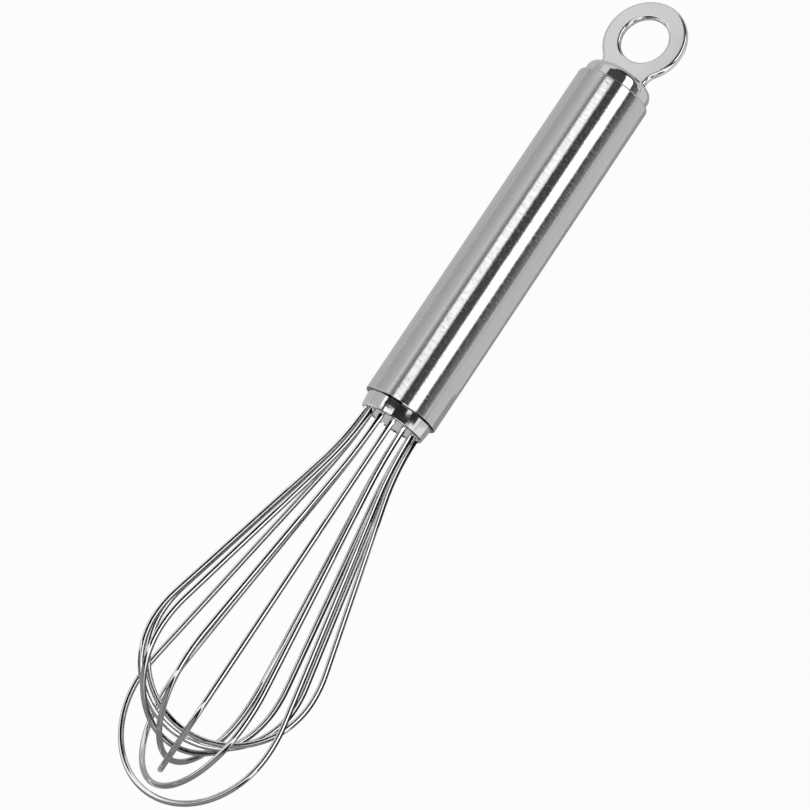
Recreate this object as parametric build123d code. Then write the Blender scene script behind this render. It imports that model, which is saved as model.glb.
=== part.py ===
from build123d import *
from math import asin, atan2, cos, degrees, hypot, radians, sin, tan
import os

# Balloon whisk, in millimetres. Every piece is made about the X axis: x = 0 is the end of the handle
# tube that the wires leave, the balloon lies towards +X and the hanging ring towards -X.
# At the end all pieces together are laid down as the whisk rests on a table.

# Handle tube
tube_radius = 9.4
tube_length = 91.7
tube_wall = 0.8
tube_ring_edge = 0.6      # rounding of the outer edge beside the hanging ring
tube_wire_edge = 0.45     # rounding of the outer edge beside the wires
tube_slip = 0.1           # gap between the tube and each plug in it

# Wire
wire_radius = 0.7
wire_slip = 0.05          # gap round a wire where it passes through another piece

# Front collar
collar_wall = 0.85
collar_rim_wall = 0.5     # the wall narrows to this at the front edge
collar_bulge = 0.05       # how far its tapering side swells past a straight line
collar_rim_edge = 0.35    # rounding of the front edge
collar_reach = 3.65       # how far the collar stands out of the tube
collar_depth = 12.0       # how far it goes into the tube

# Wire holder, the core that presses the wires against the collar
holder_slip = 0.05
holder_setback = 0.2      # its face lies this far behind the collar's edge

# Wire seal, the cast plug that locks the wire ends
seal_slip = 0.05
seal_length = 12.0
seal_cover = 4.0          # what is left behind the wire ends

# Balloon of wire loops
flare_corner = 12.3       # where the straight flare would meet the line of the leg
belly_radius = 20.8       # half the width of a full loop
shortest_reach = 88.2     # top of the shortest loop
first_turn = 90.0         # degrees about the handle, from upright to the plane of the shortest loop

# Hand-bent loops differ: one value for each loop, from the shortest to the longest
belly_shares = (0.98, 0.94, 0.98, 1.0, 1.0, 1.07, 1.04)           # of belly_radius
lean_shares = (0.01, -0.06, -0.10, 0.0, 0.0, -0.04, -0.07)        # sideways, of belly_radius
top_step_shares = (0.0, 1.15, 1.9, 2.1, 2.15, 2.5, 1.75)          # past the last top, of a wire's width
belly_arc_share = 1.4     # radius of the long side curve, of the loop's half width

# End cap
cap_reach = 3.85          # how far it stands out of the tube
cap_depth = 10.0          # how far it goes into the tube
cap_edge = 2.3            # rounding of its outer edge

# Hanging ring, a flat plate
ring_radius = 10.35
ring_hole_radius = 5.9
ring_thickness = 2.0
ring_edge = 0.8           # rounding along all its edges
ring_stand = 10.4         # from the cap's face to the middle of the hole
neck_width = 13.1
neck_curve = 4.0          # hollow corner between the ring and its neck
tongue_depth = 8.0        # how far the neck goes into the cap
tongue_slip = 0.05
ring_turn = 15.6          # degrees about the handle, from lying level
ring_aside = -0.28        # the ring stands this far beside the middle of the cap

# Sizes that follow from the ones above
tube_bore_radius = tube_radius - tube_wall
plug_radius = tube_bore_radius - tube_slip
collar_bore_radius = plug_radius - collar_wall
hole_radius = wire_radius + wire_slip
leg_circle_radius = collar_bore_radius - hole_radius
loop_count = len(belly_shares)
leg_turn = 360 / (2 * loop_count)
seal_back = -(collar_depth + seal_length)
wire_end = seal_back + seal_cover
cap_face = -(tube_length + cap_reach)


def rod(radius, start, end):
    # a round bar on the X axis
    return extrude(Plane.YZ.offset(start) * Circle(radius), amount=end - start)


def end_edge(piece, end):
    # the largest round edge at one end of a turned piece: end is 0 for -X and -1 for +X
    edges = piece.edges().filter_by(GeomType.CIRCLE).group_by(Axis.X)[end]
    return edges.sort_by(SortBy.RADIUS)[-1]


def around(shape, count):
    # copies of a shape, evenly turned about the X axis
    return [Rot(X=leg_turn / 2 + 360 * index / count) * shape for index in range(count)]


def handle_tube():
    tube = rod(tube_radius, -tube_length, 0)
    tube = fillet(end_edge(tube, 0), tube_ring_edge)
    tube = fillet(end_edge(tube, -1), tube_wire_edge)
    return tube - rod(tube_bore_radius, -tube_length, 0)


def front_collar():
    rim_radius = collar_bore_radius + collar_rim_wall
    middle_radius = (plug_radius + rim_radius) / 2 + collar_bulge
    mouth = (0, plug_radius)
    rim = (collar_reach, rim_radius)
    side = ThreePointArc(mouth, (collar_reach / 2, middle_radius), rim)
    inside = Polyline(rim, (collar_reach, 0), (-collar_depth, 0), (-collar_depth, plug_radius), mouth)
    collar = revolve(make_face([side, inside]), Axis.X)
    collar = fillet(end_edge(collar, -1), collar_rim_edge)
    return collar - rod(collar_bore_radius, -collar_depth, collar_reach)


def wire_holder():
    # a round core with one round-bottomed groove along its side for each wire leg
    core = rod(collar_bore_radius - holder_slip, -collar_depth, collar_reach - holder_setback)
    groove = Pos(Z=leg_circle_radius) * rod(hole_radius, -collar_depth, collar_reach)
    mouth_height = plug_radius - leg_circle_radius
    mouth = Pos(X=-collar_depth, Z=leg_circle_radius) * Box(
        collar_depth + collar_reach,
        2 * hole_radius,
        mouth_height,
        align=(Align.MIN, Align.CENTER, Align.MIN),
    )
    return core - around(groove + mouth, 2 * loop_count)


def wire_seal():
    seal = rod(tube_bore_radius - seal_slip, seal_back, -collar_depth)
    hole = Pos(Z=leg_circle_radius) * rod(hole_radius, wire_end - wire_slip, -collar_depth)
    return seal - around(hole, 2 * loop_count)


def loop_reach(index):
    return shortest_reach + 2 * wire_radius * sum(top_step_shares[: index + 1])


def loop_side(belly, reach, lean):
    # one side of a loop in its own plane, from the wire's end to the widest place
    arc_radius = belly * belly_arc_share
    belly_x = reach - belly
    centre_height = belly + lean - arc_radius
    run = belly_x - flare_corner
    rise = centre_height - leg_circle_radius
    slope = atan2(rise, run) + asin(arc_radius / hypot(run, rise))
    bend = flare_corner - collar_reach
    points = (
        (wire_end, leg_circle_radius),
        (collar_reach, leg_circle_radius),
        (flare_corner + bend * cos(slope), leg_circle_radius + bend * sin(slope)),
        (belly_x - arc_radius * sin(slope), centre_height + arc_radius * cos(slope)),
        (belly_x, belly + lean),
    )
    print(f"flare {degrees(slope):.1f} degrees, bend radius {bend / tan(slope / 2):.0f}")
    return points, slope


def side_edges(points, slope, side):
    # leg, bend, straight flare and long belly curve; side is 1 above the axis and -1 below it
    end, exit_, bend_end, flare_end, widest = [(x, 0, side * height) for x, height in points]
    return [
        Line(end, exit_),
        TangentArc(exit_, bend_end, tangent=(1, 0, 0)),
        Line(bend_end, flare_end),
        TangentArc(flare_end, widest, tangent=(cos(slope), 0, side * sin(slope))),
    ]


def wire_loop(index):
    belly = belly_radius * belly_shares[index]
    lean = belly_radius * lean_shares[index]
    reach = loop_reach(index)
    upper, upper_slope = loop_side(belly, reach, lean)
    lower, lower_slope = loop_side(belly, reach, -lean)
    belly_x = reach - belly
    top = ThreePointArc((belly_x, 0, lean + belly), (reach, 0, lean), (belly_x, 0, lean - belly))
    route = Wire(side_edges(upper, upper_slope, 1) + [top] + side_edges(lower, lower_slope, -1))
    section = Plane.YZ.offset(wire_end) * Pos(0, leg_circle_radius) * Circle(wire_radius)
    wire = sweep(section, path=route)
    print(f"loop {index + 1}: reach {reach:.1f}, length {route.length:.0f}")
    return Rot(X=-(first_turn + index * leg_turn)) * wire


def end_cap():
    cap = rod(plug_radius, cap_face, cap_depth - tube_length)
    cap = fillet(end_edge(cap, 0), cap_edge)
    slot = Pos(X=cap_face) * Box(
        tongue_depth + tongue_slip,
        neck_width + 2 * tongue_slip,
        ring_thickness + 2 * tongue_slip,
        align=(Align.MIN, Align.CENTER, Align.CENTER),
    )
    return cap - Rot(X=ring_turn) * Pos(Y=ring_aside) * slot


def hanging_ring():
    middle = cap_face - ring_stand
    neck = Pos(middle) * Rectangle(ring_stand + tongue_depth, neck_width, align=(Align.MIN, Align.CENTER))
    outline = Pos(middle) * Circle(ring_radius) + neck
    corners = outline.vertices().filter_by_position(Axis.X, middle, cap_face)
    outline = fillet(corners, neck_curve) - Pos(middle) * Circle(ring_hole_radius)
    plate = Pos(Z=-ring_thickness / 2) * extrude(outline, amount=ring_thickness)
    rims = plate.edges().group_by(Axis.Z)
    plate = fillet(rims[0] + rims[-1], ring_edge)
    return Rot(X=ring_turn) * Pos(Y=ring_aside) * plate


def lay_down(pieces):
    # the whisk lies on the tube's ring end and on a leg of each of the two middle loops, one on either
    # side of the lowest line; the middle of its box comes over the origin
    legs_depth = belly_radius * cos(radians(leg_turn / 2)) + wire_radius
    support_span = loop_reach(loop_count // 2) - belly_radius + tube_length - tube_ring_edge
    tilt = degrees(atan2(legs_depth - tube_radius, support_span))
    tilted = {name: Rot(Y=-tilt) * piece for name, piece in pieces.items()}
    box = Compound(list(tilted.values())).bounding_box()
    place = Pos(-box.center().X, -box.center().Y, -box.min.Z)
    print(f"tilt {tilt:.3f} degrees, place {place.position}")
    return {name: place * piece for name, piece in tilted.items()}


pieces = {
    "handle_tube": handle_tube(),
    "front_collar": front_collar(),
    "wire_holder": wire_holder(),
    "wire_seal": wire_seal(),
    "end_cap": end_cap(),
    "hanging_ring": hanging_ring(),
}
for index in range(loop_count):
    pieces[f"wire_loop_{index + 1}"] = wire_loop(index)

os.makedirs("parts", exist_ok=True)
for name, piece in lay_down(pieces).items():
    export_step(piece, f"parts/{name}.step")
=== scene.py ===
import bpy
from math import cos, radians, sin
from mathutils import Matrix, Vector

# Balloon whisk: steel finishes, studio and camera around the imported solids. Metres, Z up.

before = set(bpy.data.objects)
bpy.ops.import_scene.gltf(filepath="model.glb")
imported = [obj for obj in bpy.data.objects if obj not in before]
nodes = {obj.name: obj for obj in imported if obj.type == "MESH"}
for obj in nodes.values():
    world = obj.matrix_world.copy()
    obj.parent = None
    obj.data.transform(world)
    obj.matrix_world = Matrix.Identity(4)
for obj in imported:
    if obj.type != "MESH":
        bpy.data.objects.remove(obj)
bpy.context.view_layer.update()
print("loaded", len(nodes), "pieces")

# How the whisk lies: the handle axis rises a little towards the balloon
lie = {
    "tilt": radians(3.997),
    "tubeEnd": (0.0056235, -0.0003128, 0.0158013),  # middle of the tube's wire end
    "tubeLength": 0.0917,
    "capFace": -0.09555,        # along the handle from the tube's wire end
    "ringTurn": radians(15.6),  # the ring plate's turn about the handle axis
}
handleAxis = Vector((cos(lie["tilt"]), 0, sin(lie["tilt"])))
handleUp = Vector((-sin(lie["tilt"]), 0, cos(lie["tilt"])))
plateNormal = Vector((0, -sin(lie["ringTurn"]), 0)) + handleUp * cos(lie["ringTurn"])


# Node helpers

def addNode(tree, kind, label="", **settings):
    node = tree.nodes.new(kind)
    node.label = label
    for name, value in settings.items():
        setattr(node, name, value)
    return node


def feed(tree, source, target, inputName):
    # source is a node (its first output), an output socket or a plain value
    socket = target.inputs[inputName]
    if isinstance(source, bpy.types.Node):
        tree.links.new(source.outputs[0], socket)
    elif isinstance(source, bpy.types.NodeSocket):
        tree.links.new(source, socket)
    else:
        socket.default_value = source


def calc(tree, operation, *values):
    node = addNode(tree, "ShaderNodeMath", operation=operation)
    for index, value in enumerate(values):
        feed(tree, value, node, index)
    return node.outputs[0]


def vectorCalc(tree, operation, *values, label=""):
    node = addNode(tree, "ShaderNodeVectorMath", label, operation=operation)
    for index, value in enumerate(values):
        feed(tree, value, node, index)
    return node.outputs["Value" if operation == "DOT_PRODUCT" else "Vector"]


def mapRange(tree, value, fromMin, fromMax, toMin, toMax, label=""):
    node = addNode(tree, "ShaderNodeMapRange", label)
    for name, entry in (("Value", value), ("From Min", fromMin), ("From Max", fromMax),
                        ("To Min", toMin), ("To Max", toMax)):
        feed(tree, entry, node, name)
    return node.outputs[0]


def newGroup(name, inputs, outputs):
    group = bpy.data.node_groups.new(name, "ShaderNodeTree")
    for socketName, kind, default in inputs:
        socket = group.interface.new_socket(name=socketName, in_out="INPUT", socket_type=kind)
        socket.default_value = default
    for socketName, kind in outputs:
        group.interface.new_socket(name=socketName, in_out="OUTPUT", socket_type=kind)
    return group, group.nodes.new("NodeGroupInput"), group.nodes.new("NodeGroupOutput")


def placeGroup(tree, group, **values):
    node = addNode(tree, "ShaderNodeGroup", group.name)
    node.node_tree = group
    for name, value in values.items():
        feed(tree, value, node, name)
    return node


def distanceAlong(tree):
    # the way from the tube's wire end, and how much of it is along the handle
    place = addNode(tree, "ShaderNodeTexCoord").outputs["Object"]
    fromEnd = vectorCalc(tree, "SUBTRACT", place, lie["tubeEnd"], label="from the tube's end")
    return fromEnd, vectorCalc(tree, "DOT_PRODUCT", fromEnd, tuple(handleAxis))


# Shared effects

grainNoise = {"roughness": 0.6, "middle": 0.5, "maskFrom": 0.3, "maskTo": 0.7}
patchNoise = {"detail": 4.0, "maskFrom": 0.4, "maskTo": 0.7}


def buildTurnedGrain():
    # fine lines left by a belt or lathe: close together along the handle, long around it
    group, given, result = newGroup(
        "turnedGrain",
        [("Lines", "NodeSocketFloat", 2000.0), ("Run", "NodeSocketFloat", 120.0),
         ("Slant", "NodeSocketFloat", 0.0), ("Detail", "NodeSocketFloat", 3.0)],
        [("Height", "NodeSocketFloat"), ("Mask", "NodeSocketFloat")],
    )
    place = addNode(group, "ShaderNodeTexCoord").outputs["Object"]
    along = vectorCalc(group, "DOT_PRODUCT", place, tuple(handleAxis))
    upward = vectorCalc(group, "DOT_PRODUCT", place, tuple(handleUp))
    parts = addNode(group, "ShaderNodeSeparateXYZ")
    feed(group, place, parts, 0)
    sideways = parts.outputs["Y"]
    slanted = calc(group, "SUBTRACT", along, calc(group, "MULTIPLY", sideways, given.outputs["Slant"]))
    scaled = addNode(group, "ShaderNodeCombineXYZ")
    feed(group, calc(group, "MULTIPLY", slanted, given.outputs["Lines"]), scaled, "X")
    feed(group, calc(group, "MULTIPLY", sideways, given.outputs["Run"]), scaled, "Y")
    feed(group, calc(group, "MULTIPLY", upward, given.outputs["Run"]), scaled, "Z")
    noise = addNode(group, "ShaderNodeTexNoise", "grain lines")
    feed(group, scaled, noise, "Vector")
    feed(group, given.outputs["Detail"], noise, "Detail")
    noise.inputs["Scale"].default_value = 1.0
    noise.inputs["Roughness"].default_value = grainNoise["roughness"]
    mask = mapRange(group, noise, grainNoise["maskFrom"], grainNoise["maskTo"], 0.0, 1.0)
    feed(group, noise, result, "Height")
    feed(group, mask, result, "Mask")
    return group


def buildHandling():
    # soft patches where hands and cloths have dulled the polish
    group, given, result = newGroup(
        "handlingPatches",
        [("Size", "NodeSocketFloat", 90.0), ("Amount", "NodeSocketFloat", 1.0)],
        [("Mask", "NodeSocketFloat"), ("Height", "NodeSocketFloat")],
    )
    place = addNode(group, "ShaderNodeTexCoord").outputs["Object"]
    noise = addNode(group, "ShaderNodeTexNoise", "patches")
    feed(group, place, noise, "Vector")
    feed(group, given.outputs["Size"], noise, "Scale")
    noise.inputs["Detail"].default_value = patchNoise["detail"]
    mask = mapRange(group, noise, patchNoise["maskFrom"], patchNoise["maskTo"], 0.0, 1.0)
    feed(group, calc(group, "MULTIPLY", mask, given.outputs["Amount"]), result, "Mask")
    feed(group, noise, result, "Height")
    return group


turnedGrain = buildTurnedGrain()
handlingPatches = buildHandling()
print("grain and patches built")


# Finishes

jointShade = (0.02, 0.02, 0.02, 1)  # colour of the dark lines where pieces meet; at the tube's ends they are painted shade in the gap


def newMaterial(name):
    material = bpy.data.materials.new(name)
    material.use_nodes = True
    return material, material.node_tree, material.node_tree.nodes["Principled BSDF"]


def steelMaterial(name):
    material, tree, shader = newMaterial(name)
    shader.inputs["Metallic"].default_value = 1.0
    return material, tree, shader


def shadeByMask(tree, shader, colour, mask, share, label):
    # the colour, and a share of it where the mask is high
    mix = addNode(tree, "ShaderNodeMix", label, data_type="RGBA")
    feed(tree, mask, mix, "Factor")
    mix.inputs["A"].default_value = colour
    mix.inputs["B"].default_value = tuple(part * share for part in colour[:3]) + (1,)
    tree.links.new(mix.outputs["Result"], shader.inputs["Base Color"])
    return mix.outputs["Result"]


def drawJointShade(tree, shader, steel, mask, label):
    # a dark line over the steel where pieces meet; at the tube's ends it is painted shade
    joint = addNode(tree, "ShaderNodeMix", label, data_type="RGBA")
    feed(tree, mask, joint, "Factor")
    tree.links.new(steel, joint.inputs["A"])
    joint.inputs["B"].default_value = jointShade
    tree.links.new(joint.outputs["Result"], shader.inputs["Base Color"])


satinTube = {
    "steel": (0.72, 0.72, 0.73, 1),
    "roughness": 0.14,
    "anisotropy": 0.90,      # the lines run round the tube, so reflections spread along it
    "anisotropyTurn": 0.25,  # a quarter turn puts the spread along the handle
    "grainPerMetre": 4200,
    "grainRun": 140.0,
    "grainRoughness": 0.03,  # how much the grain adds or takes away
    "grainShade": 0.93,
    "hatchPerMetre": 6500,   # small strokes, a little slanted, that fray the edges of reflections
    "hatchRun": 900.0,
    "hatchSlant": 0.25,
    "hatchDetail": 1.0,
    "hatchTilt": 0.08,       # how far they turn the surface to either side
    "hatchRoughness": 0.14,  # how much duller the deepest strokes are
    "strokeFrom": 0.55,      # noise height where a stroke starts to dull, and where it is dullest
    "strokeTo": 0.70,
    "wireEndShade": 0.00016,    # width of the painted shade line in the gap at the wire end, and of its soft edge
    "wireEndShadeSoft": 0.00014,
    "ringEndShade": 0.00014,    # and of the painted shade line at the ring end
    "ringEndShadeSoft": 0.00007,
    "ringEndShadeDepth": 0.8,
}


def makeSatinTube(values):
    material, tree, shader = steelMaterial("satinTube")
    grain = placeGroup(tree, turnedGrain, Lines=values["grainPerMetre"], Run=values["grainRun"])
    rough = mapRange(tree, grain.outputs["Mask"], 0, 1,
                     values["roughness"] - values["grainRoughness"],
                     values["roughness"] + values["grainRoughness"])
    hatch = placeGroup(tree, turnedGrain, Lines=values["hatchPerMetre"], Run=values["hatchRun"],
                       Slant=values["hatchSlant"], Detail=values["hatchDetail"])
    strokes = mapRange(tree, hatch.outputs["Height"], values["strokeFrom"], values["strokeTo"],
                       0.0, values["hatchRoughness"])
    feed(tree, calc(tree, "ADD", rough, strokes), shader, "Roughness")
    shader.inputs["Anisotropic"].default_value = values["anisotropy"]
    shader.inputs["Anisotropic Rotation"].default_value = values["anisotropyTurn"]
    steel = shadeByMask(tree, shader, values["steel"], grain.outputs["Mask"], values["grainShade"],
                        "steel shade")
    fromEnd, along = distanceAlong(tree)
    # painted shade: dark lines at both ends of the tube, where it meets the collar and the cap
    wireEdge = mapRange(tree, along, -values["wireEndShade"] - values["wireEndShadeSoft"],
                        -values["wireEndShade"], 0.0, 1.0)
    ringLine = values["ringEndShade"] - lie["tubeLength"]
    ringEdge = mapRange(tree, along, ringLine + values["ringEndShadeSoft"], ringLine,
                        0.0, values["ringEndShadeDepth"])
    drawJointShade(tree, shader, steel, calc(tree, "MAXIMUM", wireEdge, ringEdge), "painted shade at the tube ends")
    turning = vectorCalc(tree, "CROSS_PRODUCT", tuple(handleAxis), fromEnd, label="round the handle")
    feed(tree, turning, shader, "Tangent")
    offMiddle = calc(tree, "SUBTRACT", hatch.outputs["Height"], grainNoise["middle"])
    tilt = calc(tree, "MULTIPLY", offMiddle, values["hatchTilt"])
    normal = addNode(tree, "ShaderNodeNewGeometry").outputs["Normal"]
    frayed = vectorCalc(tree, "MULTIPLY_ADD", vectorCalc(tree, "NORMALIZE", turning), tilt, normal)
    feed(tree, vectorCalc(tree, "NORMALIZE", frayed, label="hatched surface"), shader, "Normal")
    return material


polishedFittings = {
    "steel": (0.80, 0.80, 0.81, 1),
    "roughness": 0.07,
    "patchesPerMetre": 140.0,
    "patchRoughness": 1.6,  # times duller in the patches
    "patchShade": 0.96,
    "wavesPerMetre": 300,   # the polish is not quite even
    "waveDepth": 0.00005,
}
brightWire = {
    "steel": (0.80, 0.80, 0.80, 1),
    "roughness": 0.05,
    "patchesPerMetre": 60.0,
    "patchRoughness": 1.6,
    "patchShade": 0.96,
    "wavesPerMetre": 300,
    "waveDepth": 0.000005,
}


def makePolished(name, values):
    material, tree, shader = steelMaterial(name)
    patches = placeGroup(tree, handlingPatches, Size=values["patchesPerMetre"], Amount=1.0)
    rough = mapRange(tree, patches.outputs["Mask"], 0, 1,
                     values["roughness"], values["roughness"] * values["patchRoughness"])
    feed(tree, rough, shader, "Roughness")
    shadeByMask(tree, shader, values["steel"], patches.outputs["Mask"], values["patchShade"],
                "steel shade")
    waves = placeGroup(tree, handlingPatches, Size=values["wavesPerMetre"], Amount=1.0)
    bump = addNode(tree, "ShaderNodeBump", "uneven polish")
    bump.inputs["Distance"].default_value = values["waveDepth"]
    feed(tree, waves.outputs["Height"], bump, "Height")
    feed(tree, bump, shader, "Normal")
    return material


satinPlate = {
    "steel": (0.86, 0.86, 0.86, 1),
    "faceRoughness": 0.22,
    "edgeRoughness": 0.06,
    "edgeFacing": 0.90,      # cosine between surface and face where the edge's polish ends
    "faceFacing": 0.99,      # and where the face's satin is full
    "patchesPerMetre": 160.0,
    "patchRoughness": 0.04,  # added in the patches
    "patchShade": 0.95,
    "footLine": 0.00035,     # dark line where the foot meets the cap, and its soft edge
    "footLineSoft": 0.000175,
    "footLineDepth": 0.85,
}


def makeSatinPlate(values):
    # satin on the two flat faces, polished where the plate turns over its edges
    material, tree, shader = steelMaterial("satinPlate")
    normal = addNode(tree, "ShaderNodeNewGeometry").outputs["Normal"]
    facing = calc(tree, "ABSOLUTE", vectorCalc(tree, "DOT_PRODUCT", normal, tuple(plateNormal)))
    face = mapRange(tree, facing, values["edgeFacing"], values["faceFacing"], 0.0, 1.0, "flat face")
    patches = placeGroup(tree, handlingPatches, Size=values["patchesPerMetre"],
                         Amount=values["patchRoughness"])
    rough = mapRange(tree, face, 0, 1, values["edgeRoughness"], values["faceRoughness"])
    feed(tree, calc(tree, "ADD", rough, patches.outputs["Mask"]), shader, "Roughness")
    steel = shadeByMask(tree, shader, values["steel"], patches.outputs["Mask"], values["patchShade"],
                        "steel shade")
    along = distanceAlong(tree)[1]
    foot = lie["capFace"] - values["footLine"]
    footEdge = mapRange(tree, along, foot - values["footLineSoft"], foot, 0.0, values["footLineDepth"])
    drawJointShade(tree, shader, steel, footEdge, "foot line")
    return material


castingResin = {
    "colour": (0.42, 0.40, 0.36, 1),
    "roughness": 0.45,
    "patchesPerMetre": 400.0,
    "patchShade": 0.8,
}


def makeCastingResin(values):
    material, tree, shader = newMaterial("castingResin")
    shader.inputs["Roughness"].default_value = values["roughness"]
    patches = placeGroup(tree, handlingPatches, Size=values["patchesPerMetre"], Amount=1.0)
    shadeByMask(tree, shader, values["colour"], patches.outputs["Mask"], values["patchShade"],
                "resin shade")
    return material


finishes = {
    "satin_tube": makeSatinTube(satinTube),
    "polished_fittings": makePolished("polishedFittings", polishedFittings),
    "satin_plate": makeSatinPlate(satinPlate),
    "bright_wire": makePolished("brightWire", brightWire),
    "casting_resin": makeCastingResin(castingResin),
}
for piece in nodes.values():
    for slot in piece.material_slots:
        slot.material = finishes[slot.material.name.split(".")[0]]
print("finishes on", len(nodes), "pieces")


# Studio

# The room is bands of brightness along the handle: the angle about it in degrees from straight up
# towards +Y, and the level. Which set counts depends on how far the light leans towards the balloon
rimBands = (
    (-180, 0.62), (-45, 0.75), (-38, 0.02), (76, 0.02), (82, 0.75), (180, 0.60),
)
capBands = (
    (-180, 0.62), (-75, 0.62), (-45, 0.70), (-33, 0.72), (-29, 0.07), (22, 0.07),
    (26, 1.50), (51, 1.50), (55, 0.10), (75, 0.10), (79, 0.85), (137, 0.70), (180, 0.60),
)
tubeBands = (
    (-180, 0.50), (-75, 0.47), (-53, 0.62), (-44, 0.60), (-39, 0.50), (-36, 0.34), (-31, 0.16),
    (-29, 0.16), (-26, 1.20), (-22, 1.60), (-6, 1.60), (-3, 1.00), (0, 0.055), (24, 0.055),
    (27, 2.00), (50.5, 2.00), (54, 0.075), (62, 0.075), (66, 0.13), (80, 0.16), (86, 0.64),
    (137, 0.66), (180, 0.45),
)
neckBands = (
    (-180, 0.52), (-44, 0.56), (-41, 0.02), (76, 0.02), (79, 1.00), (89, 0.92),
    (121, 0.88), (127, 0.42), (180, 0.35),
)
# straight behind the whisk the rim bands count; each of these takes over between two sines of the lean
room = (
    ("cap bands", capBands, (-0.86, -0.80)),
    ("tube bands", tubeBands, (-0.40, -0.36)),
    ("neck bands", neckBands, (-0.115, -0.085)),
)
# straight ahead of the balloon the levels follow the lean itself, then the height
ahead = {
    "from": (0.12, 0.14),
    "bands": ((0.12, 1.10), (0.42, 1.10), (0.46, 0.02), (0.62, 0.02), (0.66, 0.28), (0.93, 0.28)),
    "endFrom": (0.92, 0.95),
    "endLevels": (0.16, 0.35),
    "endHeight": 0.37,
}
# cards that only a narrow lean sees: angle about the handle from and to, lean from and to
roomCards = (
    {"angle": (-50, -43), "lean": (-0.12, 0.03), "level": 1.3},
    {"angle": (-33, -4), "lean": (0.03, 0.075), "level": 1.5},
    {"angle": (34, 47), "lean": (-0.07, -0.02), "level": 1.1},
    {"angle": (52, 64), "lean": (0.065, 0.13), "level": 1.0},
    {"angle": (64, 80), "lean": (0.035, 0.13), "level": 1.0},
    {"angle": (-75, -12), "lean": (0.097, 0.11), "level": 0.02},
)
roomCardSoft = {"angle": radians(2), "lean": 0.012}  # width of their soft edges


def levelRamp(tree, value, low, high, bands, label):
    ramp = addNode(tree, "ShaderNodeValToRGB", label)
    feed(tree, mapRange(tree, value, low, high, 0.0, 1.0), ramp, 0)
    brightest = max(level for place, level in bands)
    stops = ramp.color_ramp.elements
    while len(stops) < len(bands):
        stops.new(0.5)
    for stop, (place, level) in zip(stops, bands):
        stop.position = (place - low) / (high - low)
        stop.color = (level / brightest,) * 3 + (1,)
    return calc(tree, "MULTIPLY", ramp.outputs["Color"], brightest)


def bandRamp(tree, angle, bands, label):
    # levels by the angle about the handle
    return levelRamp(tree, calc(tree, "DEGREES", angle), -180, 180, bands, label)


def blend(tree, mask, low, high):
    # low where the mask is 0 and high where it is 1
    node = addNode(tree, "ShaderNodeMix")
    for name, entry in (("Factor", mask), ("A", low), ("B", high)):
        feed(tree, entry, node, name)
    return node.outputs["Result"]


def within(tree, value, low, high, soft):
    # 1 between low and high, falling to 0 over a soft edge
    offMiddle = calc(tree, "ABSOLUTE", calc(tree, "SUBTRACT", value, (low + high) / 2))
    half = (high - low) / 2
    return mapRange(tree, offMiddle, half, half + soft, 1.0, 0.0)


def buildWorld():
    world = bpy.data.worlds.new("studio")
    bpy.context.scene.world = world
    world.use_nodes = True
    tree = world.node_tree
    background = tree.nodes["Background"]
    direction = addNode(tree, "ShaderNodeTexCoord").outputs["Generated"]
    parts = addNode(tree, "ShaderNodeSeparateXYZ")
    feed(tree, direction, parts, 0)
    upward = vectorCalc(tree, "DOT_PRODUCT", direction, tuple(handleUp))
    angle = calc(tree, "ARCTAN2", parts.outputs["Y"], upward)
    lean = vectorCalc(tree, "DOT_PRODUCT", direction, tuple(handleAxis))
    level = bandRamp(tree, angle, rimBands, "rim bands")
    for label, bands, start in room:
        started = mapRange(tree, lean, *start, 0.0, 1.0)
        level = blend(tree, started, level, bandRamp(tree, angle, bands, label))
    for card in roomCards:
        across = within(tree, angle, *(radians(edge) for edge in card["angle"]), roomCardSoft["angle"])
        along = within(tree, lean, *card["lean"], roomCardSoft["lean"])
        level = blend(tree, calc(tree, "MULTIPLY", across, along), level, card["level"])
    aheadLevel = levelRamp(tree, lean, 0, 1, ahead["bands"], "ahead bands")
    endLevel = mapRange(tree, upward, 0, ahead["endHeight"], *ahead["endLevels"])
    aheadLevel = blend(tree, mapRange(tree, lean, *ahead["endFrom"], 0.0, 1.0), aheadLevel, endLevel)
    level = blend(tree, mapRange(tree, lean, *ahead["from"], 0.0, 1.0), level, aheadLevel)
    seen = addNode(tree, "ShaderNodeLightPath").outputs["Is Camera Ray"]
    feed(tree, blend(tree, seen, level, 1.0), background, "Color")


paleFloor = {
    "size": 8.0,
    "ground": 0.72,
    "white": 0.96,  # how much of it reads as plain white to the camera
}


def buildFloor():
    bpy.ops.mesh.primitive_plane_add(size=paleFloor["size"])
    floor = bpy.context.object
    floor.name = "floor"
    material = bpy.data.materials.new("paleFloor")
    material.use_nodes = True
    tree = material.node_tree
    tree.nodes.clear()
    lit = addNode(tree, "ShaderNodeBsdfDiffuse")
    lit.inputs["Color"].default_value = (paleFloor["ground"],) * 3 + (1,)
    white = addNode(tree, "ShaderNodeEmission")
    white.inputs["Color"].default_value = (1, 1, 1, 1)
    seen = addNode(tree, "ShaderNodeLightPath").outputs["Is Camera Ray"]
    mix = addNode(tree, "ShaderNodeMixShader")
    feed(tree, calc(tree, "MULTIPLY", seen, paleFloor["white"]), mix, 0)
    tree.links.new(lit.outputs[0], mix.inputs[1])
    tree.links.new(white.outputs[0], mix.inputs[2])
    output = addNode(tree, "ShaderNodeOutputMaterial")
    tree.links.new(mix.outputs[0], output.inputs[0])
    floor.data.materials.append(material)


softbox = {
    "power": 0.6,
    "size": 0.5,
    "place": (0.1, -0.15, 0.7),  # it shines towards the origin
}


def buildLamp():
    lamp = bpy.data.lights.new("softbox", "AREA")
    lamp.shape = "SQUARE"
    lamp.size = softbox["size"]
    lamp.energy = softbox["power"]
    holder = bpy.data.objects.new("softbox", lamp)
    holder.location = softbox["place"]
    holder.rotation_euler = Vector(softbox["place"]).to_track_quat("Z", "Y").to_euler()
    holder.visible_glossy = False
    bpy.context.scene.collection.objects.link(holder)


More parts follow.
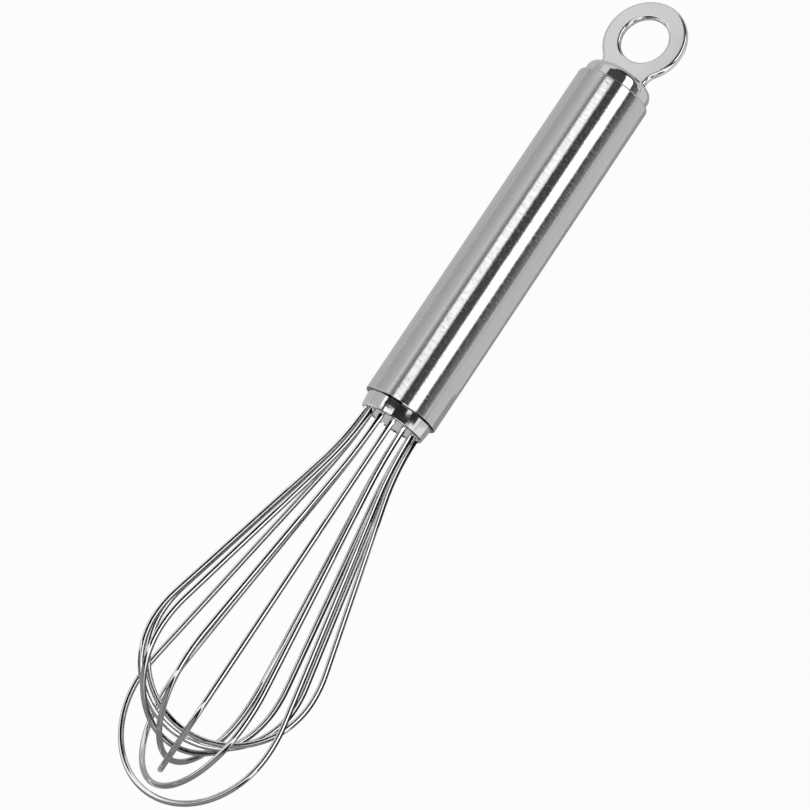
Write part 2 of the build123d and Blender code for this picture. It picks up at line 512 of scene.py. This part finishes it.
def addCard(name, points, faces):
    # a card that only the steel sees
    mesh = bpy.data.meshes.new(name)
    mesh.from_pydata(points, [], faces)
    card = bpy.data.objects.new(name, mesh)
    bpy.context.scene.collection.objects.link(card)
    for ray in ("camera", "diffuse", "transmission", "volume_scatter", "shadow"):
        setattr(card, "visible_" + ray, False)
    material = bpy.data.materials.new(name)
    material.use_nodes = True
    material.cycles.emission_sampling = "NONE"
    tree = material.node_tree
    tree.nodes.clear()
    glow = addNode(tree, "ShaderNodeEmission")
    output = addNode(tree, "ShaderNodeOutputMaterial")
    tree.links.new(glow.outputs[0], output.inputs[0])
    mesh.materials.append(material)
    return tree, glow


# Cards bent about the handle. A profile goes in steps along it: distance from the tube's wire end,
# distance from the axis, and the angle up to which the card reaches there. "from" is the angle at which
# every step of the card starts, and its bands are given like the room's
bentCards = {
    "neckHood": {
        "profile": ((0.0036, 0.0090, 141), (0.0052, 0.0150, 141), (0.0060, 0.0220, 125),
                    (0.0080, 0.0350, 112), (0.0105, 0.0550, 105)),
        "from": -110,
        "bands": ((-180, 1.10), (-49, 1.10), (-45, 0.00), (7, 0.00), (11, 1.60), (39, 1.60),
                  (44, 0.01), (180, 0.01)),
    },
    "hood": {
        "profile": ((0.0105, 0.0550, 105), (0.0180, 0.1000, 98), (0.0360, 0.2000, 95),
                    (0.1400, 0.2000, 95)),
        "from": -95,
        "bands": ((-180, 1.10), (-62, 1.10), (-58, 0.00), (9, 0.00), (13, 1.60), (51, 1.60),
                  (56, 0.01), (180, 0.01)),
    },
    "capCard": {
        "profile": ((-0.0965, 0.0122, 4), (-0.0926, 0.0122, 4)),
        "from": -20,
        "bands": ((-180, 0.06), (180, 0.06)),
    },
    "ringCard": {
        "profile": ((-0.1385, 0.06, 22), (-0.1075, 0.06, 22)),
        "from": -60,
        "bands": ((-180, 0.74), (-30, 0.74), (-28, 0.06), (180, 0.06)),
    },
}
bentCardColumns = 96


def addBentCard(name, values):
    points = []
    faces = []
    for distance, radius, last in values["profile"]:
        for column in range(bentCardColumns + 1):
            angle = radians(values["from"] + (last - values["from"]) * column / bentCardColumns)
            sideways = Vector((0, sin(angle), 0)) + handleUp * cos(angle)
            points.append(Vector(lie["tubeEnd"]) + handleAxis * distance + sideways * radius)
    for row in range(len(values["profile"]) - 1):
        for column in range(bentCardColumns):
            corner = row * (bentCardColumns + 1) + column
            above = corner + bentCardColumns + 1
            faces.append((corner, corner + 1, above + 1, above))
    tree, glow = addCard(name, points, faces)
    fromEnd = distanceAlong(tree)[0]
    parts = addNode(tree, "ShaderNodeSeparateXYZ")
    feed(tree, fromEnd, parts, 0)
    upward = vectorCalc(tree, "DOT_PRODUCT", fromEnd, tuple(handleUp))
    angle = calc(tree, "ARCTAN2", parts.outputs["Y"], upward)
    feed(tree, bandRamp(tree, angle, values["bands"], "bands"), glow, "Color")


# Cards on the floor that only the steel sees: a painted reflection of the floor, darker where they
# stand in for its shade near the whisk. Where they lie along the whisk from the tube's wire end, and
# beside it
floorReflectionCards = {
    "tubeRight": {"along": (-0.166, -0.001), "beside": (0.017, 0.35), "level": 0.64},
    "tubeLeft": {"along": (-0.166, 0.006), "beside": (-0.35, -0.008), "level": 0.56},
    "neckRight": {"along": (-0.001, 0.024), "beside": (0.026, 0.35), "level": 0.86},
    "neckNear": {"along": (-0.012, 0.024), "beside": (0.004, 0.026), "level": 0.36, "height": 0.0008},
    "neckUnder": {"along": (0.001, 0.024), "beside": (-0.02, 0.004), "level": 0.50, "height": 0.0006},
    "balloonRight": {"along": (0.024, 0.075), "beside": (0.0, 0.25), "level": 0.04},
    "tipsRight": {"along": (0.075, 0.115), "beside": (0.0, 0.25), "level": 0.20},
    "balloonUnder": {"along": (0.024, 0.07), "beside": (-0.06, 0.0), "level": 0.55},
    "balloonLeft": {"along": (0.006, 0.07), "beside": (-0.35, -0.06), "level": 0.80},
    "tipsLeft": {"along": (0.07, 0.115), "beside": (-0.35, 0.0), "level": 0.38},
    "balloonAhead": {"along": (0.115, 0.5), "beside": (-0.25, 0.25), "level": 0.20},
}
floorCardHeight = 0.0004


def addFloorCard(name, values):
    x, y, z = lie["tubeEnd"][0], lie["tubeEnd"][1], values.get("height", floorCardHeight)
    x0, x1 = (x + along for along in values["along"])
    y0, y1 = (y + beside for beside in values["beside"])
    corners = [(x0, y0, z), (x1, y0, z), (x1, y1, z), (x0, y1, z)]
    tree, glow = addCard(name, corners, [(0, 1, 2, 3)])
    glow.inputs["Color"].default_value = (values["level"],) * 3 + (1,)


# an upright black card beside the neck of the wires: painted shade that stands in, in the steel's
# reflections, for the shadow of the collar and the other wires
neckCard = {"along": (0.0041, 0.024), "beside": 0.014, "above": 0.004, "level": 0.03}


def addNeckShadeCard():
    x, y, z = lie["tubeEnd"]
    x0, x1 = (x + along for along in neckCard["along"])
    y += neckCard["beside"]
    z0, z1 = floorCardHeight, z + neckCard["above"]
    corners = [(x0, y, z0), (x1, y, z0), (x1, y, z1), (x0, y, z1)]
    tree, glow = addCard("neckCard", corners, [(0, 1, 2, 3)])
    glow.inputs["Color"].default_value = (neckCard["level"],) * 3 + (1,)


buildWorld()
buildFloor()
buildLamp()
for name, card in bentCards.items():
    addBentCard(name, card)
for name, card in floorReflectionCards.items():
    addFloorCard(name + "Card", card)
addNeckShadeCard()
print("studio built")


# Camera

shot = {
    "place": (0.080382, 0.166312, 0.753197),
    "turn": (11.7495, 7.563, 122.9663),  # degrees
    "lens": 146.67,
    "sensor": 36.0,
}
camera = bpy.data.objects.new("camera", bpy.data.cameras.new("camera"))
camera.data.sensor_width = shot["sensor"]
camera.data.lens = shot["lens"]
camera.location = shot["place"]
camera.rotation_euler = [radians(angle) for angle in shot["turn"]]
bpy.context.scene.collection.objects.link(camera)
bpy.context.scene.camera = camera
bpy.context.scene.view_settings.view_transform = "Standard"
print("camera placed")
